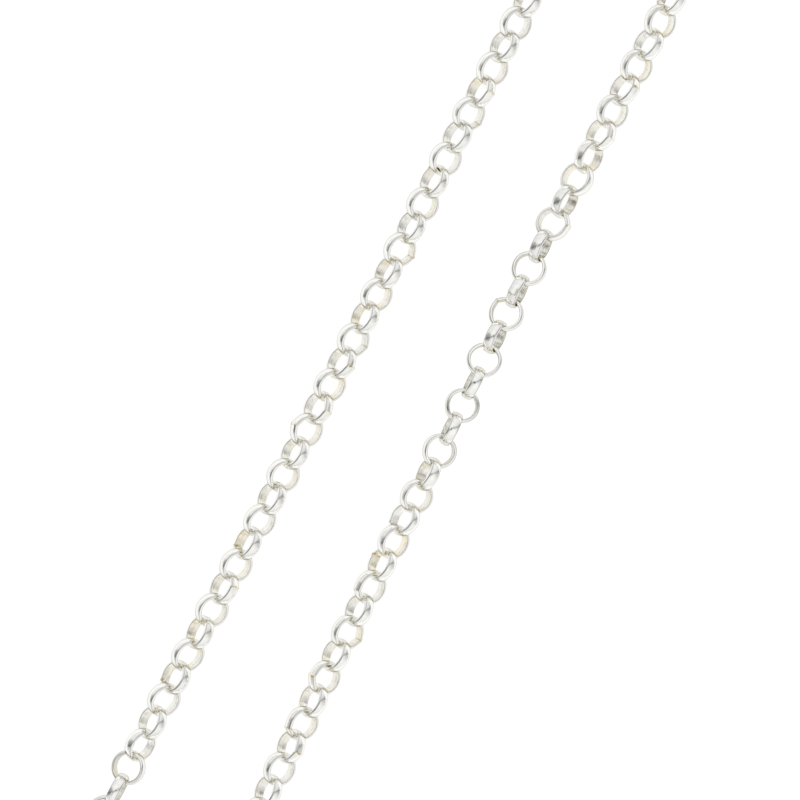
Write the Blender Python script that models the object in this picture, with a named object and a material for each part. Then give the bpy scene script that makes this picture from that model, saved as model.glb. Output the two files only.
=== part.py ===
"""A rolo chain necklace lying on a surface as one long narrow loop, its clasp on the left strand.

Metres, +Z up. The origin is the middle of the loop, on the surface that it lies on. The two strands
run along Y, the left one at -X. The route goes up the left strand, over the far turn at +Y, down the
right strand and round the near turn at -Y.
"""

import math

import bmesh
import bpy
import numpy as np

# The necklace
NECKLACE_LENGTH = 0.450  # once round the closed loop, clasp included
FAR_SPACING = 0.0135  # between the strands' centre lines where the far turn starts
NEAR_SPACING = 0.0155  # the same where the near turn starts

# A link: a round ring bent from strip that is flat inside and domed outside
LINK_OUTER = 0.0040  # across the ring, over the dome
STRIP_WIDTH = 0.00122
STRIP_THICKNESS = 0.00044  # under the top of the dome
EDGE_THICKNESS = 0.00033  # at the strip's two edges
FLANK_FACETS = 4  # flat facets on each flank of a ring, between its two contact facets

# The clasp: a plain claw whose hook holds one end link, with a round eye for the other
CLASP_THICKNESS = 0.0034  # of the claw's body, which lies on the surface
HOOK_LENGTH = 0.0085  # of the hook's loop, along its wire's centre line
HOOK_WIDTH = 0.0048
HOOK_WIRE = 0.0013
HOOK_FULLNESS = 0.2  # how much wider the loop is near its nose than at its middle, as a share
EYE_ACROSS = 0.0036  # across the eye, over its wire's centre line
EYE_WIRE = 0.0010
CLASP_FROM_TURN = 0.0227  # along the left strand, from the near turn to the middle of the clasp

LEFT_SHARE = 0.5  # of all the links, the share that the left half of the chain has

# Clearances
MEETING_GAP = 0.0003  # between the two halves of the chain, where their links pass through each other
CLASP_PLAY = 0.0005  # between the clasp's wire and the end link that it holds

# Bows of a strand off its straight line, each row (share of the strand from near turn to far turn,
# sideways distance towards +X)
LEFT_BOW = [
    (0.00, 0.0),
    (0.27, -0.00014),
    (0.41, 0.00015),
    (0.55, 0.00008),
    (0.65, -0.00010),
    (1.00, 0.0),
]
RIGHT_BOW = [
    (0.00, 0.0),
    (0.27, 0.00015),
    (0.36, 0.0),
    (0.49, 0.00002),
    (0.59, -0.00030),
    (0.68, 0.00006),
    (0.76, 0.00030),
    (1.00, 0.0),
]

# Turn of the links about the chain's own line, each row (share of the route from the near end of the
# left strand, degrees between the even links' ring axes and upright, positive to the right of the way
# that the route goes). Odd links lie a quarter turn further on. The half turn between the last row
# and the first leaves a ring as it is.
LINK_TURN = [
    (0.000, 90.0),
    (0.099, 90.0),
    (0.103, 88.0),
    (0.109, 78.0),
    (0.115, 53.0),
    (0.122, 42.0),
    (0.129, 37.0),
    (0.430, 37.0),
    (0.560, 53.0),
    (0.635, 53.0),
    (0.644, 40.0),
    (0.653, 33.0),
    (0.668, 20.0),
    (0.682, 12.0),
    (0.697, 8.0),
    (0.709, 1.0),
    (0.719, -5.0),
    (0.729, -13.0),
    (0.736, -22.0),
    (0.742, -34.0),
    (0.748, -37.0),
    (0.830, -37.0),
    (1.000, -90.0),
]

CLASP_SECTION_SIDES = 8
HOOK_STATIONS = 36
EYE_STATIONS = 20

UP = np.array([0.0, 0.0, 1.0])
ROUTE_STEP = 0.00025  # between the route's computed points

outer_radius = LINK_OUTER / 2
inner_radius = outer_radius - STRIP_THICKNESS
edge_radius = inner_radius + EDGE_THICKNESS
contact_angle = math.asin(STRIP_WIDTH / 2 / inner_radius)
contact_reach = inner_radius * math.cos(contact_angle)
pitch = 2 * contact_reach


def clear_scene():
    for thing in list(bpy.data.objects):
        bpy.data.objects.remove(thing, do_unlink=True)


def metal(name, colour, roughness):
    material = bpy.data.materials.new(name)
    material.use_nodes = True
    shader = material.node_tree.nodes["Principled BSDF"]
    shader.inputs["Base Color"].default_value = (*colour, 1.0)
    shader.inputs["Metallic"].default_value = 1.0
    shader.inputs["Roughness"].default_value = roughness
    return material


def add_object(name, bm, material):
    bmesh.ops.recalc_face_normals(bm, faces=bm.faces)
    mesh = bpy.data.meshes.new(name)
    bm.to_mesh(mesh)
    bm.free()
    mesh.shade_smooth()
    mesh.set_sharp_from_angle(angle=math.radians(40))
    mesh.materials.append(material)
    thing = bpy.data.objects.new(name, mesh)
    bpy.context.scene.collection.objects.link(thing)
    return thing


def clasp_run():
    """Along the route between the centres of the two links that the clasp holds."""
    hook_to_eye = HOOK_LENGTH + EYE_ACROSS
    return hook_to_eye + end_link_offset(HOOK_WIRE) + end_link_offset(EYE_WIRE)


def end_link_offset(wire):
    """How far an end link's centre lies beyond the centre line of the clasp's wire inside it."""
    return contact_reach - wire / 2 - CLASP_PLAY


def strand(side, spacing_near, spacing_far, near_y, far_y, bow):
    """Plan points of one strand, from the near turn to the far one, with its bow."""
    steps = max(2, round((far_y - near_y) / ROUTE_STEP))
    share = np.linspace(0.0, 1.0, steps + 1)
    half = (spacing_near + (spacing_far - spacing_near) * share) / 2
    shares, offsets = np.array(bow).T
    x = side * half + smooth_through(share, shares, offsets)
    return np.stack([x, near_y + (far_y - near_y) * share], axis=1)


def smooth_through(at, places, values):
    """Values between the listed ones, level at each listed place."""
    index = np.clip(np.searchsorted(places, at, side="right") - 1, 0, len(places) - 2)
    t = (at - places[index]) / (places[index + 1] - places[index])
    t = np.clip(t, 0.0, 1.0)
    blend = t * t * (3 - 2 * t)
    return values[index] * (1 - blend) + values[index + 1] * blend


def turn(radius, centre_y, start_angle):
    """Plan points of a half circle, clockwise from start_angle, without its two ends."""
    steps = max(8, round(math.pi * radius / ROUTE_STEP))
    angle = start_angle - np.linspace(0.0, math.pi, steps + 1)[1:-1]
    return np.stack([radius * np.cos(angle), centre_y + radius * np.sin(angle)], axis=1)


def route_for(straight):
    """The closed route in plan, for strands of this length, starting at the left strand's near end."""
    middle = (NEAR_SPACING - FAR_SPACING) / 4
    near_y = middle - straight / 2
    far_y = middle + straight / 2
    left = strand(-1, NEAR_SPACING, FAR_SPACING, near_y, far_y, LEFT_BOW)
    right = strand(1, NEAR_SPACING, FAR_SPACING, near_y, far_y, RIGHT_BOW)
    far = turn(FAR_SPACING / 2, far_y, math.pi)
    near = turn(NEAR_SPACING / 2, near_y, 0.0)
    return np.concatenate([left, far, right[::-1], near, left[:1]])


def lengths_along(points):
    steps = np.linalg.norm(np.diff(points, axis=0), axis=1)
    return np.concatenate([[0.0], np.cumsum(steps)])


class Route:
    """The closed route, whose strands are as long as the links and the clasp need."""

    def __init__(self, length):
        straight = (length - math.pi * (FAR_SPACING + NEAR_SPACING) / 2) / 2
        for _ in range(3):
            self.points = route_for(straight)
            self.along = lengths_along(self.points)
            straight += (length - self.along[-1]) / 2
        self.length = length

    def at(self, distance):
        wrapped = distance % self.length
        x = np.interp(wrapped, self.along, self.points[:, 0])
        y = np.interp(wrapped, self.along, self.points[:, 1])
        return np.array([x, y, 0.0])

    def heading(self, distance):
        ahead = self.at(distance + pitch / 2) - self.at(distance - pitch / 2)
        return ahead / np.linalg.norm(ahead)

    def link_turn(self, distance):
        shares, degrees = np.array(LINK_TURN).T
        return math.radians(np.interp(distance % self.length / self.length, shares, degrees))


def drop_below_centre(angle):
    """How far a ring whose axis leans this far from upright reaches below its centre."""
    sine, cosine = abs(math.sin(angle)), abs(math.cos(angle))
    ridge = outer_radius * sine
    edge = edge_radius * sine + STRIP_WIDTH / 2 * cosine
    return max(ridge, edge)


def link_frame(route, distance, odd):
    """Centre of a link and its three directions: along the chain, across the ring, and its axis."""
    even_turn = route.link_turn(distance)
    height = max(drop_below_centre(even_turn), drop_below_centre(even_turn + math.pi / 2))
    centre = route.at(distance) + height * UP
    along = route.heading(distance)
    right = np.cross(along, UP)
    angle = even_turn + (math.pi / 2 if odd else 0.0)
    axis = math.cos(angle) * UP + math.sin(angle) * right
    return centre, along, np.cross(axis, along), axis


def ring_angles():
    """Angles of a ring's ten corners. The last and the first bound its forward contact facet."""
    flank = np.linspace(contact_angle, math.pi - contact_angle, FLANK_FACETS + 1)
    return np.concatenate([flank, flank + math.pi])


def strip_corners():
    """Corners of the strip's section, each (distance from the ring's centre, along its axis)."""
    half = STRIP_WIDTH / 2
    return [
        (inner_radius, -half),
        (inner_radius, half),
        (edge_radius, half),
        (outer_radius, 0.0),
        (edge_radius, -half),
    ]


def add_link(bm, frame, open_back, open_front):
    """Adds one ring, without the contact facets that it shares. Returns its stations of corners."""
    centre, along, across, axis = frame
    stations = []
    for angle in ring_angles():
        outward = math.cos(angle) * along + math.sin(angle) * across
        corners = [bm.verts.new(centre + r * outward + x * axis) for r, x in strip_corners()]
        stations.append(corners)
    count = len(stations)
    for i, here in enumerate(stations):
        following = stations[(i + 1) % count]
        is_front = i == count - 1
        is_back = i == count // 2 - 1
        for j in range(len(here)):
            k = (j + 1) % len(here)
            if j == 0 and ((is_front and open_front) or (is_back and open_back)):
                continue
            bm.faces.new([here[j], here[k], following[k], following[j]])
    return stations


def contact_corners(stations, front):
    """The four inner corners of a ring's front or back contact facet."""
    count = len(stations)
    pair = (count - 1, 0) if front else (count // 2 - 1, count // 2)
    return [stations[i][j] for i in pair for j in (0, 1)]


def join_links(behind, ahead, welds):
    """Makes the facing contact corners of two links one, midway between where the links put them."""
    free = contact_corners(ahead, front=False)
    for corner in contact_corners(behind, front=True):
        partner = min(free, key=lambda other: (other.co - corner.co).length)
        free.remove(partner)
        middle = (corner.co + partner.co) / 2
        corner.co = middle
        partner.co = middle
        welds[partner] = corner


def chain(name, route, first_distance, count, first_number, material):
    """One half of the chain, its links fused where they bear on each other."""
    bm = bmesh.new()
    welds = {}
    previous = None
    for i in range(count):
        frame = link_frame(route, first_distance + i * pitch, (first_number + i) % 2 == 1)
        stations = add_link(bm, frame, open_back=i > 0, open_front=i < count - 1)
        if previous:
            join_links(previous, stations, welds)
        previous = stations
    bmesh.ops.weld_verts(bm, targetmap=welds)
    return add_object(name, bm, material)


def swept_ring(centre_line, half_widths, half_heights, middle_height):
    """A closed wire of flat-topped section round a closed plan line."""
    bm = bmesh.new()
    step = 2 * math.pi / CLASP_SECTION_SIDES
    to_flat = 1 / math.cos(step / 2)
    ahead = np.roll(centre_line, -1, axis=0) - np.roll(centre_line, 1, axis=0)
    ahead /= np.linalg.norm(ahead, axis=1)[:, None]
    stations = []
    for point, along, wide, high in zip(centre_line, ahead, half_widths, half_heights):
        outward = np.array([along[1], -along[0], 0.0])
        corners = []
        for i in range(CLASP_SECTION_SIDES):
            angle = (i + 0.5) * step
            sideways = wide * to_flat * math.cos(angle)
            height = middle_height + high * to_flat * math.sin(angle)
            corners.append(bm.verts.new((*point, 0.0) + sideways * outward + height * UP))
        stations.append(corners)
    for here, following in zip(stations, stations[1:] + stations[:1]):
        for j in range(CLASP_SECTION_SIDES):
            k = (j + 1) % CLASP_SECTION_SIDES
            bm.faces.new([here[j], here[k], following[k], following[j]])
    return bm


def clasp(route, middle_distance, material):
    """The claw: a hook loop, thick at its root and slim at its nose, with the eye fused behind it."""
    origin = route.at(middle_distance)
    heading = route.heading(middle_distance)
    side = np.cross(heading, UP)
    length = HOOK_LENGTH + EYE_ACROSS
    nose = -length / 2
    angle = np.linspace(0.0, 2 * math.pi, HOOK_STATIONS, endpoint=False)
    to_nose = (1 + np.cos(angle)) / 2
    x = HOOK_WIDTH / 2 * np.sin(angle) * (1 + HOOK_FULLNESS * np.cos(angle))
    y = nose + HOOK_LENGTH * (1 - to_nose)
    rise = np.clip((1 - to_nose) * 1.6 - 0.4, 0.0, 1.0)
    rise = rise * rise * (3 - 2 * rise)
    high = HOOK_WIRE / 2 + (CLASP_THICKNESS - HOOK_WIRE) / 2 * rise
    hook_line = origin[:2] + x[:, None] * side[:2] + y[:, None] * heading[:2]
    middle = CLASP_THICKNESS / 2
    hook = swept_ring(hook_line, np.full(len(x), HOOK_WIRE / 2), high, middle)
    angle = np.linspace(0.0, 2 * math.pi, EYE_STATIONS, endpoint=False)
    x = EYE_ACROSS / 2 * np.sin(angle)
    y = length / 2 - EYE_ACROSS / 2 + EYE_ACROSS / 2 * np.cos(angle)
    eye_line = origin[:2] + x[:, None] * side[:2] + y[:, None] * heading[:2]
    half = np.full(len(x), EYE_WIRE / 2)
    body = add_object("clasp", hook, material)
    eye = add_object("clasp_eye", swept_ring(eye_line, half, half, middle), material)
    eye.hide_render = True
    eye.display_type = "WIRE"
    union = body.modifiers.new("Eye", "BOOLEAN")
    union.operation = "UNION"
    union.object = eye
    return body, eye


def centre_on_origin(things):
    """Moves the whole necklace so that the middle of its box, seen from above, is the origin."""
    corners = np.concatenate([[v.co for v in thing.data.vertices] for thing in things])
    middle = (corners.min(axis=0) + corners.max(axis=0)) / 2
    for thing in things:
        thing.location = (-middle[0], -middle[1], 0.0)


def main():
    clear_scene()
    silver = metal("Silver", (0.86, 0.85, 0.83), 0.12)
    run = clasp_run()
    # An odd count brings an upright link to the hook as well as to the eye.
    link_count = 2 * round((NECKLACE_LENGTH - run + MEETING_GAP) / pitch / 2) + 1
    left_count = round(link_count * LEFT_SHARE)
    right_count = link_count - left_count
    route = Route((link_count - 1) * pitch - MEETING_GAP + run)
    left_start = CLASP_FROM_TURN + (HOOK_LENGTH + EYE_ACROSS) / 2 + end_link_offset(EYE_WIRE)
    right_start = left_start + left_count * pitch - MEETING_GAP
    left = chain("chain_left", route, left_start, left_count, 0, silver)
    right = chain("chain_right", route, right_start, right_count, left_count, silver)
    claw, eye = clasp(route, CLASP_FROM_TURN, silver)
    centre_on_origin([left, right, claw])
    eye.location = claw.location


main()
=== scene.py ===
"""Looks of the rolo chain necklace: each link as its own ring of bent strip, and the claw clasp."""

import math

import bmesh
import bpy
import numpy as np
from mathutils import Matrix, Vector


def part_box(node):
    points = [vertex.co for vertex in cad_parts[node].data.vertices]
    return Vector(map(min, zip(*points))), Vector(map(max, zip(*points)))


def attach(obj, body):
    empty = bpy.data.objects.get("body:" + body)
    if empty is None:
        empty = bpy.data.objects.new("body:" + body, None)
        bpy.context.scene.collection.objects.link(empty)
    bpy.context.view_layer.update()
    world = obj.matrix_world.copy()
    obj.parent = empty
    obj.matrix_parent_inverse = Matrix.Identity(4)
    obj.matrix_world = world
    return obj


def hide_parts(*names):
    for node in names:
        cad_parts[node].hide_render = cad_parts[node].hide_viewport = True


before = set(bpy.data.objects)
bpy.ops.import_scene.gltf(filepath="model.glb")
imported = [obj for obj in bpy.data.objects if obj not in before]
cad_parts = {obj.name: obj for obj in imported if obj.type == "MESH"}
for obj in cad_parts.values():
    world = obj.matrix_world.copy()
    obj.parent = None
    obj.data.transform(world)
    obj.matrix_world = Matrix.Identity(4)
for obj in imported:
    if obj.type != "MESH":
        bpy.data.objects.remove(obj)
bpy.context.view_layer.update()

# The necklace's own sizes, in metres, as its solids have them
NECKLACE_LENGTH = 0.450
FAR_SPACING = 0.0135
NEAR_SPACING = 0.0155
LINK_OUTER = 0.0040
STRIP_WIDTH = 0.00122
STRIP_THICKNESS = 0.00044
EDGE_THICKNESS = 0.00033
CLASP_THICKNESS = 0.0034
HOOK_LENGTH = 0.0085
HOOK_WIDTH = 0.0048
HOOK_WIRE = 0.0013
HOOK_FULLNESS = 0.2
EYE_ACROSS = 0.0036
EYE_WIRE = 0.0010
CLASP_FROM_TURN = 0.0227
MEETING_GAP = 0.0003
CLASP_PLAY = 0.0005
LEFT_SHARE = 0.5

# Bows of each strand, rows of (share of the strand from near turn to far turn, sideways distance)
LEFT_BOW = [
    (0.00, 0.0),
    (0.27, -0.00014),
    (0.41, 0.00015),
    (0.55, 0.00008),
    (0.65, -0.00010),
    (1.00, 0.0),
]
RIGHT_BOW = [
    (0.00, 0.0),
    (0.27, 0.00015),
    (0.36, 0.0),
    (0.49, 0.00002),
    (0.59, -0.00030),
    (0.68, 0.00006),
    (0.76, 0.00030),
    (1.00, 0.0),
]

# Turn of the even links about the chain's line, rows of (share of the route, degrees)
LINK_TURN = [
    (0.000, 90.0),
    (0.099, 90.0),
    (0.103, 88.0),
    (0.109, 78.0),
    (0.115, 53.0),
    (0.122, 42.0),
    (0.129, 37.0),
    (0.430, 37.0),
    (0.560, 53.0),
    (0.635, 53.0),
    (0.644, 40.0),
    (0.653, 33.0),
    (0.668, 20.0),
    (0.682, 12.0),
    (0.697, 8.0),
    (0.709, 1.0),
    (0.719, -5.0),
    (0.729, -13.0),
    (0.736, -22.0),
    (0.742, -34.0),
    (0.748, -37.0),
    (0.830, -37.0),
    (1.000, -90.0),
]

# The photograph's view: straight down, the strands running to its upper right
CAMERA_DISTANCE = 0.40
CAMERA_TURN = 27.19  # degrees
VIEW_WIDTH = 0.0904  # of what the picture takes in, at the chain's height
VIEW_MIDDLE = (0.00067, -0.00013)  # from the middle between the two strands
NEAREST_SEEN = 0.01

# The light tent's cloth, rows of (height of the direction, brightness)
TENT_BY_HEIGHT = [
    (0.00, 0.88),
    (0.25, 0.91),
    (0.60, 0.98),
    (0.90, 1.15),
]
CLOTH_SCALE = 1.3
CLOTH_DARKEST = 0.90
CLOTH_BRIGHTEST = 1.05
LAMP_AZIMUTH = 127.0  # degrees
LAMP_REACH = 0.8  # cosine at which the lamps have their full light
AWAY_FROM_LAMPS = 0.84
END_AZIMUTH = 25.0  # degrees, of the tent's open ends
END_COSINES = (0.80, 0.97)  # where the cloth ends and where the opening is clear
END_SHADE = 0.77

# The slit that the camera looks through, its lens, and whoever takes the picture
SLIT_AZIMUTH = 35.0  # degrees
SLIT_HALF_WIDTH = 0.058  # sine of the angle beside its plane
SLIT_SOFTNESS = 2.5  # half widths from its plane to where the cloth is whole
SLIT_SHADE = 0.52
LENS_HALF_WIDTH = 5.5  # degrees
LENS_RIM = 3.0  # degrees
LENS_SHADE = 0.04
BODY_DIRECTION = (-0.70, -0.36, 0.62)
BODY_HALF_WIDTHS = (34.0, 12.0)  # degrees, where its shade begins and where it is full
BODY_SHADE = 0.45

# The table top, which glows a little so that it is white in the picture
TABLE_REACH = 1.5
TABLE_COLOUR = (0.34, 0.34, 0.34, 1.0)
TABLE_ROUGHNESS = 0.9
TABLE_GLOW = 0.80
WHITE = (1.0, 1.0, 1.0, 1.0)

# Colours of the metal
SILVER = (0.910, 0.907, 0.878, 1.0)
# warm tint: real tarnish, and also painted bounce light inside the links and where they meet
TARNISH_AND_BOUNCE_TINT = (0.95, 0.885, 0.70, 1.0)
GRIME = (0.42, 0.36, 0.26, 1.0)
# painted shade along the strip's rounded edges, standing in for their dark reflections
RIM_PAINTED_SHADE = (0.36, 0.355, 0.34, 1.0)
GRAZING_TINT = (0.66, 0.645, 0.595, 1.0)  # darkens silver where it turns out of sight

# Wear of the links, with the painted bounce light and edge shade on them, as shares
# tarnish mixed with painted warm bounce light, inside the link and more where links meet
INSIDE_TARNISH_AND_BOUNCE = 0.32
CONTACT_TARNISH_AND_BOUNCE = 0.6
TARNISH_AT_SEAM = 0.6
TARNISH_OF_LINK = (0.3, 2.4)  # from the cleanest link to the most stained one
SPECKS_INSIDE = 0.6
SPECKS_WHERE_RUBBED = 0.2
# strength of the painted shade along the edges
RIM_SHADE_STRENGTH = 0.90
POLISH_LOST_INSIDE = 0.07
LINES_STRETCH = (0.07, 2.2, 1.0)  # along the strip and round its section
LINES_SHIFT = 17.3  # millimetres from each link's lines to the next link's

# Fineness of the link's surface, and its roundings
FLAT_STEPS = 1
CORNER_STEPS = 3
SHOULDER_STEPS = 4
DOME_STEPS = 4
EVEN_STATIONS = 50
SEAM_STATIONS = (0.35, 1.1, 2.4, 4.6)  # degrees to either side of a link's seam
CORNER_RADIUS = 0.00008
SHOULDER_RADIUS = 0.00022
SHOULDER_DROP = 0.00015  # from the crown's top to where its curve would meet the side

# The clasp's parts, by degrees round the hook's loop from its nose
LEVER_ROOT = 152
LEVER_TIP = 49.5
HOOK_TIP = 30
TAB_FROM = 122
TAB_TO = 136
RIVET_AT = 146

# Fineness of the clasp's surface
HOOK_STEPS = 84
LEVER_STEPS = 40
ROOT_STEPS = 6
TAB_STEPS = 8
EYE_STEPS = 64
TIP_STEPS = (4, 30, 60)  # degrees round a wire's rounded tip, from its end
CLASP_SIDES = 28
RIVET_SIDES = 24
CLASP_SHARP_ANGLE = 40  # degrees

# The clasp's smaller sizes
HOOK_THICKENS = (0.25, 0.875)  # shares of its length from the nose, where it starts and is full
LEVER_SLIMMING = (1.0, 0.7)  # of the hook's width, from root to tip
LEVER_LOWERING = (0.6, 0.85)  # of the hook's height, from root to tip
ROOT_REACH = (-0.0001, 0.0006)  # from the hook's back towards the eye
ROOT_HALF_WIDTHS = (0.00115, 0.0008)
ROOT_HALF_HEIGHTS = (0.00150, 0.00085)
ROOT_TIP = 0.0003  # length of each rounded end
TAB_OUT = 0.00062  # beyond the lever's middle line
TAB_TURNS_ABOUT = 0.0035  # from the hook's back to the point that the tab faces away from
TAB_HALF_WIDTH = 0.0004
TAB_HALF_HEIGHT = 0.0008
RIVET_RADIUS = 0.00045
RIVET_STANDS_OUT = 0.00001
CLASP_SQUARENESS = 0.8  # 1 is an oval wire, and less is squarer

# A rivet's head, rows of (share of its radius, depth below its top)
RIVET_HEAD = [
    (0.55, 0.0),
    (0.90, 0.00005),
    (1.00, 0.00014),
]

# Seams that the photograph shows, rows of (link number, degrees round its ring from the leading end)
SHOWN_SEAMS = [
    (11, 232),
    (15, 67),
    (17, 239),
    (22, 90),
    (23, 87),
    (25, 90),
    (26, 270),
    (30, 267),
    (33, 313),
    (36, 257),
    (37, 80),
    (88, 110),
    (90, 90),
    (94, 106),
    (97, 74),
    (98, 239),
    (107, 308),
    (109, 250),
    (110, 297),
    (112, 84),
    (114, 280),
    (116, 304),
    (117, 84),
]

# Links that the photograph shows more tarnished than their neighbours
STAINED_LINKS = (13, 17, 24, 91, 108, 109)

# Links that lie turned further about the chain's line, rows of (link number, degrees)
TURNED_LINKS = [
    (99, 11),
]

# How far links differ from each other
FACE_ON_LEAN = 5.5  # degrees that a link which lies flat rises towards its next one
WOBBLE = (2.2, 0.9, 0.9)  # degrees, about the chain's line and about the other two
SEAM_SPREAD = 28.0  # degrees to either side of the place where links bear
SEAM_PEAKS = (4.0, 12.0)  # degrees to either side over which the strip's ends run straight
SHOWN_SEAM_PEAK = 22.0  # the same, at the seams that the photograph shows
SEAM_STEP = 0.00003  # most that each end of the strip stands aside
WAVE_COUNT = 3
WAVE_SIZE = 0.000016
WAVE_PHASE = 6.28  # a whole turn
MOST_TONE = 0.62  # of any link but the stained ones
STAINED_TONE = 1.0

# The seam's groove, the marks of wear, and where the edge shade is painted
GROOVE_DEPTH = 0.00003
GROOVE_HALF_WIDTH = 0.8  # degrees
STEP_REACH = 14.0  # degrees over which the step at the seam fades
SEAM_MARK = 6.0  # degrees over which the seam's tarnish fades
EDGE_MIDDLE = 47.0  # degrees between the side face's normal and the normal where the painted edge shade is darkest
INNER_EDGE_BAND = 26.0  # degrees
OUTER_EDGE_BAND = 15.0  # degrees

ROUTE_STEP = 0.00025
UP = np.array([0.0, 0.0, 1.0])
RANDOM_SEED = 11

outer_radius = LINK_OUTER / 2
inner_radius = outer_radius - STRIP_THICKNESS
edge_radius = inner_radius + EDGE_THICKNESS
contact_angle = math.asin(STRIP_WIDTH / 2 / inner_radius)
contact_reach = inner_radius * math.cos(contact_angle)
pitch = 2 * contact_reach


def end_link_offset(wire):
    """How far beyond the clasp's end the centre of its link lies."""
    return contact_reach - wire / 2 - CLASP_PLAY


def smooth_through(at, places, values):
    """Values that run smoothly from each given one to the next."""
    index = np.clip(np.searchsorted(places, at, side="right") - 1, 0, len(places) - 2)
    t = (at - places[index]) / (places[index + 1] - places[index])
    t = np.clip(t, 0.0, 1.0)
    blend = t * t * (3 - 2 * t)
    return values[index] * (1 - blend) + values[index + 1] * blend


def strand(side, near_y, far_y, bow):
    """One long side of the loop, from the near turn to the far one."""
    steps = max(2, round((far_y - near_y) / ROUTE_STEP))
    share = np.linspace(0.0, 1.0, steps + 1)
    half = (NEAR_SPACING + (FAR_SPACING - NEAR_SPACING) * share) / 2
    shares, offsets = np.array(bow).T
    x = side * half + smooth_through(share, shares, offsets)
    return np.stack([x, near_y + (far_y - near_y) * share], axis=1)


def turn(radius, centre_y, start_angle):
    """A half circle, run clockwise and without its two ends."""
    steps = max(8, round(math.pi * radius / ROUTE_STEP))
    angle = start_angle - np.linspace(0.0, math.pi, steps + 1)[1:-1]
    return np.stack([radius * np.cos(angle), centre_y + radius * np.sin(angle)], axis=1)


def route_for(straight):
    """The whole loop, for a given length of its long sides."""
    middle = (NEAR_SPACING - FAR_SPACING) / 4
    near_y = middle - straight / 2
    far_y = middle + straight / 2
    left = strand(-1, near_y, far_y, LEFT_BOW)
    right = strand(1, near_y, far_y, RIGHT_BOW)
    far = turn(FAR_SPACING / 2, far_y, math.pi)
    near = turn(NEAR_SPACING / 2, near_y, 0.0)
    return np.concatenate([left, far, right[::-1], near, left[:1]])


class Route:
    """The closed line of the necklace, as its solids follow it."""

    def __init__(self, length):
        straight = (length - math.pi * (FAR_SPACING + NEAR_SPACING) / 2) / 2
        for _ in range(3):
            self.points = route_for(straight)
            steps = np.linalg.norm(np.diff(self.points, axis=0), axis=1)
            self.along = np.concatenate([[0.0], np.cumsum(steps)])
            straight += (length - self.along[-1]) / 2
        self.length = length
        self.shift = np.zeros(3)

    def at(self, distance):
        wrapped = distance % self.length
        x = np.interp(wrapped, self.along, self.points[:, 0])
        y = np.interp(wrapped, self.along, self.points[:, 1])
        return np.array([x, y, 0.0]) + self.shift

    def heading(self, distance):
        ahead = self.at(distance + pitch / 2) - self.at(distance - pitch / 2)
        return ahead / np.linalg.norm(ahead)

    def link_turn(self, distance):
        shares, degrees = np.array(LINK_TURN).T
        return math.radians(np.interp(distance % self.length / self.length, shares, degrees))


def drop_below_centre(angle):
    """How far a ring reaches below its centre, by the angle of its axis from upright."""
    sine, cosine = abs(math.sin(angle)), abs(math.cos(angle))
    return max(outer_radius * sine, edge_radius * sine + STRIP_WIDTH / 2 * cosine)


def link_frame(route, distance, odd, wobble):
    """Centre and the three directions of a link, as a matrix of columns along, across and axis."""
    even_turn = route.link_turn(distance)
    height = max(drop_below_centre(even_turn), drop_below_centre(even_turn + math.pi / 2))
    centre = route.at(distance) + height * UP
    along = route.heading(distance)
    right = np.cross(along, UP)
    angle = even_turn + (math.pi / 2 if odd else 0.0) + wobble[0]
    axis = math.cos(angle) * UP + math.sin(angle) * right
    across = np.cross(axis, along)
    lean = FACE_ON_LEAN * max(0.0, math.cos(angle)) ** 4
    along = along + wobble[1] * across + (wobble[2] + math.radians(lean)) * axis
    along /= np.linalg.norm(along)
    across = np.cross(axis, along)
    across /= np.linalg.norm(across)
    axis = np.cross(along, across)
    return centre, np.stack([along, across, axis], axis=1)


def arc(centre, radius, start, end, steps):
    """Points and outward normals of one rounded corner of the strip's section."""
    angle = np.radians(np.linspace(start, end, steps + 1))
    normals = np.stack([np.cos(angle), np.sin(angle)], axis=1)
    return np.array(centre) + radius * normals, normals


def strip_section():
    """The strip's section: rows of (distance from the ring's centre, along its axis), and normals."""
    half = STRIP_WIDTH / 2
    rise = SHOULDER_DROP
    dome_radius = (half * half + rise * rise) / (2 * rise)
    dome_centre = outer_radius - dome_radius
    # The dome meets each side face through a round shoulder that touches both
    reach = dome_radius - SHOULDER_RADIUS
    corner_x = half - SHOULDER_RADIUS
    corner_r = dome_centre + math.sqrt(reach * reach - corner_x * corner_x)
    lean = math.degrees(math.asin(corner_x / reach))
    inner = CORNER_RADIUS
    parts = [
        arc((inner_radius + inner, half - inner), inner, 180, 90, CORNER_STEPS),
        arc((corner_r, corner_x), SHOULDER_RADIUS, 90, lean, SHOULDER_STEPS),
    ]
    angle = np.radians(np.linspace(lean, -lean, DOME_STEPS + 2)[1:-1])
    normals = np.stack([np.cos(angle), np.sin(angle)], axis=1)
    parts.append((np.array([dome_centre, 0.0]) + dome_radius * normals, normals))
    parts.append(arc((corner_r, -corner_x), SHOULDER_RADIUS, -lean, -90, SHOULDER_STEPS))
    parts.append(arc((inner_radius + inner, inner - half), inner, -90, -180, CORNER_STEPS))
    flat = np.linspace(inner - half, half - inner, FLAT_STEPS + 2)[1:-1]
    points = np.stack([np.full(FLAT_STEPS, inner_radius), flat], axis=1)
    parts.append((points, np.tile([-1.0, 0.0], (FLAT_STEPS, 1))))
    return np.concatenate([p for p, _ in parts]), np.concatenate([n for _, n in parts])


SECTION, SECTION_NORMALS = strip_section()
SECTION_RUN = np.cumsum(np.linalg.norm(np.diff(SECTION, axis=0, prepend=SECTION[-1:]), axis=1))


def station_angles(seam):
    """Angles round a ring, close together at its seam."""
    beside = np.radians(SEAM_STATIONS)
    free = np.linspace(beside[-1], 2 * math.pi - beside[-1], EVEN_STATIONS)[1:-1]
    offsets = np.concatenate([beside, free, 2 * math.pi - beside[::-1]])
    return offsets, offsets + seam


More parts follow.
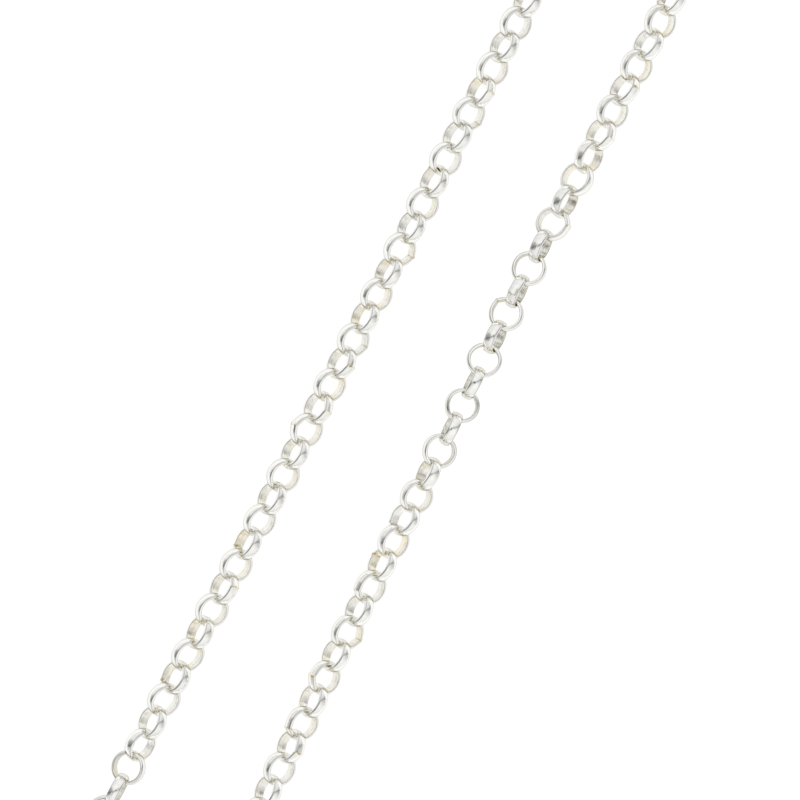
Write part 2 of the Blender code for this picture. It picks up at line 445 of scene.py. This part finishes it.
def away_from_seam(offsets):
    """Angles to either side of the seam, 0 at the seam itself."""
    return np.where(offsets > math.pi, offsets - 2 * math.pi, offsets)


def bell(away, reach):
    """1 at the seam, and falling off to either side over so many degrees."""
    return np.exp(-((away / math.radians(reach)) ** 2))


def ring(seam, peak, step, out_of_round):
    """Points and normals of one ring as (along, across, axis), and the angles of its stations."""
    offsets, angles = station_angles(seam)
    away = away_from_seam(offsets)
    # Both ends of the strip run straight to the seam and meet there in a blunt corner
    lean = np.clip(peak - np.abs(away), 0.0, None)
    lift = outer_radius * (1 / np.cos(lean) - 1)
    for wave, (size, phase) in enumerate(out_of_round, start=2):
        lift = lift + size * np.cos(wave * angles + phase)
    groove = GROOVE_DEPTH * bell(away, GROOVE_HALF_WIDTH)
    side_step = step * np.sign(away) * bell(away, STEP_REACH)
    radius = SECTION[:, 0] + lift[:, None] - groove[:, None] * SECTION_NORMALS[:, 0]
    sideways = SECTION[:, 1] + side_step[:, None] - groove[:, None] * SECTION_NORMALS[:, 1]
    cosine, sine = np.cos(angles)[:, None], np.sin(angles)[:, None]
    points = np.stack([radius * cosine, radius * sine, sideways], axis=2)
    round_ring = np.roll(points, -1, axis=0) - np.roll(points, 1, axis=0)
    over_r, over_x = -SECTION_NORMALS[:, 1][None, :], SECTION_NORMALS[:, 0][None, :]
    over = np.stack([over_r * cosine, over_r * sine, over_x + 0 * cosine], axis=2)
    normals = np.cross(round_ring, over)
    normals /= np.linalg.norm(normals, axis=2)[:, :, None]
    return points, normals, angles, away


def grid_faces(stations, corners):
    """Four-sided faces over a ring of stations, each with a round of corners."""
    i, j = np.meshgrid(np.arange(stations), np.arange(corners), indexing="ij")
    i2, j2 = (i + 1) % stations, (j + 1) % corners
    here, ahead = i * corners, i2 * corners
    return np.stack([here + j, here + j2, ahead + j2, ahead + j], axis=2).reshape(-1, 4)


def in_scene(name, data):
    thing = bpy.data.objects.new(name, data)
    bpy.context.scene.collection.objects.link(thing)
    return thing


def mesh_object(name, points, normals, quads, marks, uvs):
    """A mesh with its own normals, its marks of wear and painted shade, and the map of its strips."""
    mesh = bpy.data.meshes.new(name)
    mesh.vertices.add(len(points))
    mesh.vertices.foreach_set("co", points.astype(np.float32).ravel())
    mesh.loops.add(quads.size)
    mesh.loops.foreach_set("vertex_index", quads.astype(np.int32).ravel())
    mesh.polygons.add(len(quads))
    mesh.polygons.foreach_set("loop_start", np.arange(0, quads.size, 4, dtype=np.int32))
    mesh.update(calc_edges=True)
    mesh.shade_smooth()
    layer = mesh.color_attributes.new("wear_and_shade", "FLOAT_COLOR", "POINT")
    layer.data.foreach_set("color", marks[:, :4].astype(np.float32).ravel())
    edges = mesh.attributes.new("edge", "FLOAT", "POINT")
    edges.data.foreach_set("value", marks[:, 4].astype(np.float32).copy())
    uv = mesh.uv_layers.new(name="strip")
    uv.data.foreach_set("uv", uvs[quads.ravel()].astype(np.float32).ravel())
    mesh.normals_split_custom_set_from_vertices(normals.tolist())
    mesh.validate()
    return in_scene(name, mesh)


def drawn_shape(number, draw):
    """What sets one link apart from the others: its seam, its waves, its wobble and its tone."""
    seam = math.pi * draw.integers(0, 2) + math.radians(draw.uniform(-SEAM_SPREAD, SEAM_SPREAD))
    peak = math.radians(draw.uniform(*SEAM_PEAKS))
    shown = dict(SHOWN_SEAMS)
    if number in shown:
        seam = math.radians(shown[number])
        peak = math.radians(SHOWN_SEAM_PEAK)
    step = draw.uniform(-1, 1) * SEAM_STEP
    waves = [(draw.uniform(0, WAVE_SIZE), draw.uniform(0, WAVE_PHASE)) for _ in range(WAVE_COUNT)]
    wobble = draw.normal(0, 1, 3) * np.radians(WOBBLE)
    wobble[0] += math.radians(dict(TURNED_LINKS).get(number, 0))
    tone = draw.uniform(0, MOST_TONE)
    if number in STAINED_LINKS:
        tone = STAINED_TONE
    return (seam, peak, step, waves), wobble, tone


def wear_and_shade_marks(angles, away, tone):
    """Rows of (faces inward, near a contact, at the seam, the link's tone, on an edge where shade is
    painted).
    """
    over_section = np.ones(len(SECTION))
    normal_r, normal_x = SECTION_NORMALS.T
    inward = np.ones((len(angles), 1)) * np.clip(-normal_r, 0, 1)
    near_contact = np.cos(angles)[:, None] ** 4 * over_section
    at_seam = bell(away, SEAM_MARK)[:, None] * over_section
    from_side = np.degrees(np.arctan2(np.abs(normal_r), np.abs(normal_x)))
    band = np.where(normal_r < 0, INNER_EDGE_BAND, OUTER_EDGE_BAND)
    # Band along the rounded edges where shade is painted, away from the contacts
    edge = np.exp(-(((from_side - EDGE_MIDDLE) / band) ** 2)) * (1 - near_contact)
    marks = np.stack([inward, near_contact, at_seam, np.full_like(inward, tone), edge], axis=2)
    return marks.reshape(-1, 5)


def strip_map(angles, number):
    """Millimetres along the strip and round its section, each link starting elsewhere."""
    millimetres = 1000
    start = number * LINES_SHIFT
    along = (angles[:, None] * outer_radius * millimetres + start) * np.ones(len(SECTION))
    around = np.ones((len(angles), 1)) * SECTION_RUN * millimetres
    return np.stack([along, around], axis=2).reshape(-1, 2)


def links(name, route, first_distance, count, first_number, draw):
    """Half of the chain as separate rings in one mesh."""
    points, normals, marks, uvs, quads = [], [], [], [], []
    for i in range(count):
        number = first_number + i
        shape, wobble, tone = drawn_shape(number, draw)
        ring_points, ring_normals, angles, away = ring(*shape)
        centre, basis = link_frame(route, first_distance + i * pitch, number % 2 == 1, wobble)
        stations, corners = ring_points.shape[:2]
        points.append(ring_points.reshape(-1, 3) @ basis.T + centre)
        normals.append(ring_normals.reshape(-1, 3) @ basis.T)
        marks.append(wear_and_shade_marks(angles, away, tone))
        uvs.append(strip_map(angles, number))
        quads.append(grid_faces(stations, corners) + i * stations * corners)
    joined = [np.concatenate(rows) for rows in (points, normals, quads, marks, uvs)]
    return mesh_object(name, *joined)


def with_round_tips(line, half_widths, half_heights, tip_length):
    """The line and its sizes, lengthened at both ends by a tip that closes in steps."""
    steps = np.radians(TIP_STEPS)
    first, last = line[0] - line[1], line[-1] - line[-2]
    first, last = first / np.linalg.norm(first), last / np.linalg.norm(last)
    before = line[0] + np.cos(steps)[:, None] * tip_length * first
    after = line[-1] + np.cos(steps[::-1])[:, None] * tip_length * last
    scale = np.concatenate([np.sin(steps), np.ones(len(line)), np.sin(steps[::-1])])
    half_widths = np.pad(half_widths, len(steps), mode="edge") * scale
    half_heights = np.pad(half_heights, len(steps), mode="edge") * scale
    return np.concatenate([before, line, after]), half_widths, half_heights


def swept(bm, line, half_widths, half_heights, tip_length=None):
    """A wire of rounded section along a line in plan, closed where it has no tip length."""
    closed = tip_length is None
    if closed:
        ahead = np.roll(line, -1, axis=0) - np.roll(line, 1, axis=0)
    else:
        line, half_widths, half_heights = with_round_tips(line, half_widths, half_heights, tip_length)
        ahead = np.gradient(line, axis=0)
    ahead /= np.linalg.norm(ahead, axis=1)[:, None]
    angle = np.linspace(0, 2 * math.pi, CLASP_SIDES, endpoint=False)
    sideways = np.sign(np.cos(angle)) * np.abs(np.cos(angle)) ** CLASP_SQUARENESS
    upward = np.sign(np.sin(angle)) * np.abs(np.sin(angle)) ** CLASP_SQUARENESS
    rows = []
    for point, along, wide, high in zip(line, ahead, half_widths, half_heights):
        outward = np.array([along[1], -along[0], 0.0])
        centre = np.array([*point, CLASP_THICKNESS / 2])
        corners = [centre + wide * a * outward + high * b * UP for a, b in zip(sideways, upward)]
        rows.append([bm.verts.new(corner) for corner in corners])
    join_rows(bm, rows, closed)


def join_rows(bm, rows, closed):
    """Faces between each row of points and the next, and over both ends unless it is closed."""
    following_rows = rows[1:] + rows[:1] if closed else rows[1:]
    for here, following in zip(rows, following_rows):
        for j in range(len(here)):
            k = (j + 1) % len(here)
            bm.faces.new([here[j], here[k], following[k], following[j]])
    if not closed:
        bm.faces.new(rows[0][::-1])
        bm.faces.new(rows[-1])


class ClaspPlan:
    """The clasp seen from above, in its own directions: sideways, and ahead along the chain."""

    def __init__(self, route):
        self.origin = route.at(CLASP_FROM_TURN)[:2]
        heading = route.heading(CLASP_FROM_TURN)
        self.ahead = heading[:2]
        self.side = np.cross(heading, UP)[:2]
        self.length = HOOK_LENGTH + EYE_ACROSS
        self.back = HOOK_LENGTH - self.length / 2  # of the hook, where the root begins

    def at(self, x, y):
        return self.origin + np.outer(x, self.side) + np.outer(y, self.ahead)

    def loop(self, start, end, count):
        """Part of the hook's loop, by degrees from its nose, and its half height there."""
        angle = np.radians(np.linspace(start, end, count))
        to_nose = (1 + np.cos(angle)) / 2
        x = HOOK_WIDTH / 2 * np.sin(angle) * (1 + HOOK_FULLNESS * np.cos(angle))
        y = -self.length / 2 + HOOK_LENGTH * (1 - to_nose)
        rise = np.interp(1 - to_nose, HOOK_THICKENS, (0.0, 1.0))
        rise = rise * rise * (3 - 2 * rise)
        return self.at(x, y), HOOK_WIRE / 2 + (CLASP_THICKNESS - HOOK_WIRE) / 2 * rise


def hook(bm, plan):
    line, high = plan.loop(HOOK_TIP, LEVER_ROOT - 360, HOOK_STEPS)
    swept(bm, line, np.full(len(line), HOOK_WIRE / 2), high, HOOK_WIRE / 2)


def lever(bm, plan):
    line, high = plan.loop(LEVER_ROOT, LEVER_TIP, LEVER_STEPS)
    wide = HOOK_WIRE / 2 * np.linspace(*LEVER_SLIMMING, len(line))
    high = high * np.linspace(*LEVER_LOWERING, len(line))
    swept(bm, line, wide, high, HOOK_WIRE / 2 * LEVER_SLIMMING[1])


def root(bm, plan):
    """The thick piece that joins hook and eye."""
    line = plan.at(np.zeros(ROOT_STEPS), plan.back + np.linspace(*ROOT_REACH, ROOT_STEPS))
    wide = np.linspace(*ROOT_HALF_WIDTHS, ROOT_STEPS)
    high = np.linspace(*ROOT_HALF_HEIGHTS, ROOT_STEPS)
    swept(bm, line, wide, high, ROOT_TIP)


def thumb_tab(bm, plan):
    line, _ = plan.loop(TAB_FROM, TAB_TO, TAB_STEPS)
    outward = line - (plan.origin + (plan.back - TAB_TURNS_ABOUT) * plan.ahead)
    outward /= np.linalg.norm(outward, axis=1)[:, None]
    wide = np.full(len(line), TAB_HALF_WIDTH)
    high = np.full(len(line), TAB_HALF_HEIGHT)
    swept(bm, line + TAB_OUT * outward, wide, high, TAB_HALF_WIDTH)


def rivet(bm, plan):
    """The lever's pin, with a slightly domed head at each end."""
    places, _ = plan.loop(RIVET_AT, RIVET_AT + 1, 2)
    low, top = -RIVET_STANDS_OUT, CLASP_THICKNESS + RIVET_STANDS_OUT
    outline = [(share, low + depth) for share, depth in RIVET_HEAD]
    outline += [(share, top - depth) for share, depth in reversed(RIVET_HEAD)]
    angle = np.linspace(0, 2 * math.pi, RIVET_SIDES, endpoint=False)
    circle = np.stack([np.cos(angle), np.sin(angle)], axis=1)
    rows = []
    for share, height in outline:
        corners = places[0] + share * RIVET_RADIUS * circle
        rows.append([bm.verts.new((*corner, height)) for corner in corners])
    join_rows(bm, rows, False)


def eye(bm, plan):
    angle = np.linspace(0, 2 * math.pi, EYE_STEPS, endpoint=False)
    radius = EYE_ACROSS / 2
    line = plan.at(radius * np.sin(angle), plan.length / 2 - radius + radius * np.cos(angle))
    half_wire = np.full(len(line), EYE_WIRE / 2)
    swept(bm, line, half_wire, half_wire)


def claw_clasp(route):
    """The claw: hook, lever with its rivet and thumb tab, root and eye."""
    plan = ClaspPlan(route)
    bm = bmesh.new()
    for part in (hook, lever, root, thumb_tab, rivet, eye):
        part(bm, plan)
    bmesh.ops.recalc_face_normals(bm, faces=bm.faces)
    mesh = bpy.data.meshes.new("claw_clasp")
    bm.to_mesh(mesh)
    bm.free()
    mesh.shade_smooth()
    mesh.set_sharp_from_angle(angle=math.radians(CLASP_SHARP_ANGLE))
    return in_scene("claw_clasp", mesh)


def node(tree, kind, **settings):
    made = tree.nodes.new(kind)
    for name, value in settings.items():
        setattr(made, name, value)
    return made


def feed(tree, value, socket):
    """Links a socket, or sets it to a plain value."""
    if isinstance(value, bpy.types.NodeSocket):
        tree.links.new(value, socket)
    else:
        socket.default_value = value


def calc(tree, operation, *values, clamp=False):
    made = node(tree, "ShaderNodeMath", operation=operation, use_clamp=clamp)
    for value, socket in zip(values, made.inputs):
        feed(tree, value, socket)
    return made.outputs[0]


def ranged(tree, value, start=0.0, end=1.0, low=0.0, high=1.0, smooth=False):
    """Maps start to low and end to high, and holds the value between them."""
    made = node(tree, "ShaderNodeMapRange")
    made.interpolation_type = "SMOOTHSTEP" if smooth else "LINEAR"
    limits = {"Value": value, "From Min": start, "From Max": end, "To Min": low, "To Max": high}
    for name, limit in limits.items():
        feed(tree, limit, made.inputs[name])
    return made.outputs["Result"]


def mixed(tree, share, first, second):
    """The first colour where the share is 0 and the second where it is 1."""
    made = node(tree, "ShaderNodeMix", data_type="RGBA")
    feed(tree, share, made.inputs["Factor"])
    feed(tree, first, made.inputs["A"])
    feed(tree, second, made.inputs["B"])
    return made.outputs["Result"]


def noise(tree, vector, scale, detail):
    made = node(tree, "ShaderNodeTexNoise")
    made.inputs["Scale"].default_value = scale
    made.inputs["Detail"].default_value = detail
    tree.links.new(vector, made.inputs["Vector"])
    return made.outputs["Fac"]


def bump(tree, height, strength, distance):
    made = node(tree, "ShaderNodeBump")
    made.inputs["Strength"].default_value = strength
    made.inputs["Distance"].default_value = distance
    tree.links.new(height, made.inputs["Height"])
    return made


def plain_material(name):
    material = bpy.data.materials.new(name)
    material.use_nodes = True
    tree = material.node_tree
    return material, tree, tree.nodes["Principled BSDF"]


def metal(name):
    """A metal with nothing yet but its darkening at grazing angles."""
    material, tree, shader = plain_material(name)
    shader.inputs["Metallic"].default_value = 1.0
    shader.inputs["Specular Tint"].default_value = GRAZING_TINT
    place = node(tree, "ShaderNodeTexCoord").outputs["Object"]
    return material, tree, shader, place


def link_colour(tree, place, cloud, inward, at_contact, at_seam, tone):
    """Silver with warm tarnish and painted bounce light, small dark specks, and painted shade along
    the edges.
    """
    # Tarnish lies at the seam; inside the link, and most of all where links meet, a warm tint is
    # partly tarnish and partly painted bounce light
    inside = calc(tree, "MULTIPLY_ADD", at_contact, CONTACT_TARNISH_AND_BOUNCE, INSIDE_TARNISH_AND_BOUNCE)
    inside = calc(tree, "MULTIPLY", inward, inside)
    tarnish_and_bounce = calc(tree, "MULTIPLY_ADD", at_seam, TARNISH_AT_SEAM, inside)
    patches = ranged(tree, cloud, start=0.35, end=0.65, low=0.1, high=1.7)
    of_link = ranged(tree, tone, low=TARNISH_OF_LINK[0], high=TARNISH_OF_LINK[1])
    patches = calc(tree, "MULTIPLY", patches, of_link)
    tarnish_and_bounce = calc(tree, "MULTIPLY", tarnish_and_bounce, patches, clamp=True)
    colour = mixed(tree, tarnish_and_bounce, SILVER, TARNISH_AND_BOUNCE_TINT)
    # Specks are left by solder and polish
    specks = ranged(tree, noise(tree, place, scale=2600.0, detail=2.0), start=0.54, end=0.68)
    outside = calc(tree, "MULTIPLY_ADD", at_contact, SPECKS_WHERE_RUBBED, at_seam)
    everywhere = calc(tree, "MULTIPLY_ADD", inside, SPECKS_INSIDE, outside, clamp=True)
    specks = calc(tree, "MULTIPLY", specks, everywhere, clamp=True)
    colour = mixed(tree, specks, colour, GRIME)
    # Painted shade along the strip's rounded edges, standing in for their dark reflections
    edge = node(tree, "ShaderNodeAttribute", attribute_name="edge").outputs["Fac"]
    return mixed(tree, calc(tree, "MULTIPLY", edge, RIM_SHADE_STRENGTH), colour, RIM_PAINTED_SHADE)


def link_surface(tree, place):
    """Lines drawn along the strip, and a soft unevenness of the polish."""
    uv = node(tree, "ShaderNodeUVMap", uv_map="strip")
    stretch = node(tree, "ShaderNodeMapping")
    stretch.inputs["Scale"].default_value = LINES_STRETCH
    tree.links.new(uv.outputs["UV"], stretch.inputs["Vector"])
    lines = noise(tree, stretch.outputs["Vector"], scale=2.5, detail=5.0)
    drawn = bump(tree, lines, strength=1.0, distance=0.000024)
    soft = bump(tree, noise(tree, place, scale=900.0, detail=3.0), strength=0.6, distance=0.00005)
    tree.links.new(drawn.outputs["Normal"], soft.inputs["Normal"])
    return soft.outputs["Normal"]


def silver_material():
    """The links' polished silver."""
    material, tree, shader, place = metal("polished_silver")
    wear_and_shade = node(tree, "ShaderNodeAttribute", attribute_name="wear_and_shade")
    split = node(tree, "ShaderNodeSeparateColor")
    tree.links.new(wear_and_shade.outputs["Color"], split.inputs["Color"])
    inward, at_contact, at_seam = (split.outputs[name] for name in ("Red", "Green", "Blue"))
    cloud = noise(tree, place, scale=620.0, detail=4.0)
    colour = link_colour(tree, place, cloud, inward, at_contact, at_seam, wear_and_shade.outputs["Alpha"])
    tree.links.new(colour, shader.inputs["Base Color"])
    polish = ranged(tree, cloud, low=0.05, high=0.16)
    roughness = calc(tree, "MULTIPLY_ADD", inward, POLISH_LOST_INSIDE, polish)
    tree.links.new(roughness, shader.inputs["Roughness"])
    tree.links.new(link_surface(tree, place), shader.inputs["Normal"])
    return material


def cast_silver_material():
    """The clasp's silver: cast, tumbled and a little worn."""
    material, tree, shader, place = metal("cast_silver")
    cloud = noise(tree, place, scale=700.0, detail=5.0)
    colour = mixed(tree, ranged(tree, cloud, start=0.45, end=0.75), SILVER, TARNISH_AND_BOUNCE_TINT)
    tree.links.new(colour, shader.inputs["Base Color"])
    tree.links.new(ranged(tree, cloud, low=0.12, high=0.3), shader.inputs["Roughness"])
    soft = bump(tree, cloud, strength=0.5, distance=0.00004)
    tree.links.new(soft.outputs["Normal"], shader.inputs["Normal"])
    return material


def pointing(tree, direction, axis):
    """How much of each direction points along an axis."""
    made = node(tree, "ShaderNodeVectorMath", operation="DOT_PRODUCT")
    made.inputs[1].default_value = axis
    tree.links.new(direction, made.inputs[0])
    return made.outputs["Value"]


def to_either_side(tree, direction, azimuth):
    """How much of each direction points along a level line, either way."""
    angle = math.radians(azimuth)
    level = (math.cos(angle), math.sin(angle), 0.0)
    return calc(tree, "ABSOLUTE", pointing(tree, direction, level))


def tent_by_height(tree, height):
    shade = node(tree, "ShaderNodeValToRGB")
    ramp = shade.color_ramp
    ramp.interpolation = "EASE"
    while len(ramp.elements) < len(TENT_BY_HEIGHT):
        ramp.elements.new(0.5)
    for element, (at, value) in zip(ramp.elements, TENT_BY_HEIGHT):
        element.position = at
        element.color = (value, value, value, 1.0)
    tree.links.new(height, shade.inputs["Fac"])
    return shade.outputs["Color"]


def uneven_cloth(tree, direction):
    cloth = noise(tree, direction, scale=CLOTH_SCALE, detail=2.0)
    return ranged(tree, cloth, start=0.35, end=0.65, low=CLOTH_DARKEST, high=CLOTH_BRIGHTEST)


def lamps(tree, direction):
    """A large lamp stands to either side."""
    to_lamp = to_either_side(tree, direction, LAMP_AZIMUTH)
    return ranged(tree, to_lamp, end=LAMP_REACH, low=AWAY_FROM_LAMPS, smooth=True)


def open_ends(tree, direction):
    """The room is darker beyond the tent's open ends."""
    to_end = to_either_side(tree, direction, END_AZIMUTH)
    whole, clear = END_COSINES
    return ranged(tree, to_end, start=whole, end=clear, low=1.0, high=END_SHADE, smooth=True)


def slit(tree, direction):
    """Directions near the upright plane of the slit are darker."""
    beside = to_either_side(tree, direction, SLIT_AZIMUTH + 90)
    soft_edge = SLIT_HALF_WIDTH * SLIT_SOFTNESS
    return ranged(tree, beside, start=SLIT_HALF_WIDTH, end=soft_edge, low=SLIT_SHADE, smooth=True)


def body(tree, direction):
    """Whoever takes the picture darkens one side of the slit."""
    to_body = pointing(tree, direction, BODY_DIRECTION)
    begins, full = (math.cos(math.radians(width)) for width in BODY_HALF_WIDTHS)
    return ranged(tree, to_body, start=begins, end=full, low=1.0, high=BODY_SHADE, smooth=True)


def lens(tree, height):
    rim = math.cos(math.radians(LENS_HALF_WIDTH + LENS_RIM))
    glass = math.cos(math.radians(LENS_HALF_WIDTH))
    return ranged(tree, height, start=rim, end=glass, low=1.0, high=LENS_SHADE, smooth=True)


def studio_world():
    """A white light tent with lamps at its sides, open ends, and a slit overhead for the lens."""
    world = bpy.data.worlds.new("studio")
    bpy.context.scene.world = world
    world.use_nodes = True
    tree = world.node_tree
    direction = node(tree, "ShaderNodeTexCoord").outputs["Generated"]
    split = node(tree, "ShaderNodeSeparateXYZ")
    tree.links.new(direction, split.inputs["Vector"])
    light = tent_by_height(tree, split.outputs["Z"])
    for shading in (uneven_cloth, lamps, open_ends, slit, body):
        light = calc(tree, "MULTIPLY", light, shading(tree, direction))
    light = calc(tree, "MULTIPLY", light, lens(tree, split.outputs["Z"]))
    tree.links.new(light, tree.nodes["Background"].inputs["Color"])


def white_table():
    material, _, shader = plain_material("white_table")
    shader.inputs["Base Color"].default_value = TABLE_COLOUR
    shader.inputs["Roughness"].default_value = TABLE_ROUGHNESS
    shader.inputs["Emission Color"].default_value = WHITE
    shader.inputs["Emission Strength"].default_value = TABLE_GLOW
    return material


def floor():
    reach = TABLE_REACH
    mesh = bpy.data.meshes.new("floor")
    corners = [(-reach, -reach, 0), (reach, -reach, 0), (reach, reach, 0), (-reach, reach, 0)]
    mesh.from_pydata(corners, [], [(0, 1, 2, 3)])
    mesh.materials.append(white_table())
    in_scene("floor", mesh)


def camera(route):
    data = bpy.data.cameras.new("camera")
    data.lens = data.sensor_width * (CAMERA_DISTANCE - outer_radius) / VIEW_WIDTH
    data.clip_start = NEAREST_SEEN
    thing = in_scene("camera", data)
    x = VIEW_MIDDLE[0] + route.shift[0]
    y = VIEW_MIDDLE[1] + route.shift[1]
    thing.location = (x, y, CAMERA_DISTANCE)
    thing.rotation_euler = (0.0, 0.0, math.radians(CAMERA_TURN))
    bpy.context.scene.camera = thing


def place_on_frame(route):
    """Shifts the route so that it runs through the frame's clasp as the solids do."""
    low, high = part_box("clasp")
    behind_middle = (HOOK_WIRE - EYE_WIRE) / 4
    middle = route.at(CLASP_FROM_TURN) - behind_middle * route.heading(CLASP_FROM_TURN)
    route.shift = (np.array(low) + np.array(high)) / 2 - middle
    route.shift[2] = 0.0


def add_piece(thing, stands_for, material):
    """Lets a piece take the place of one of the solids."""
    thing.data.materials.append(material)
    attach(thing, "root")
    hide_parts(stands_for)


def main():
    clasp_length = HOOK_LENGTH + EYE_ACROSS
    run = clasp_length + end_link_offset(HOOK_WIRE) + end_link_offset(EYE_WIRE)
    link_count = 2 * round((NECKLACE_LENGTH - run + MEETING_GAP) / pitch / 2) + 1
    left_count = round(link_count * LEFT_SHARE)
    right_count = link_count - left_count
    route = Route((link_count - 1) * pitch - MEETING_GAP + run)
    place_on_frame(route)
    left_start = CLASP_FROM_TURN + clasp_length / 2 + end_link_offset(EYE_WIRE)
    right_start = left_start + left_count * pitch - MEETING_GAP
    camera(route)
    draw = np.random.default_rng(RANDOM_SEED)
    silver = silver_material()
    left = links("links_left", route, left_start, left_count, 0, draw)
    right = links("links_right", route, right_start, right_count, left_count, draw)
    add_piece(left, "chain_left", silver)
    add_piece(right, "chain_right", silver)
    add_piece(claw_clasp(route), "clasp", cast_silver_material())
    studio_world()
    floor()
    bpy.context.scene.view_settings.view_transform = "Standard"


main()
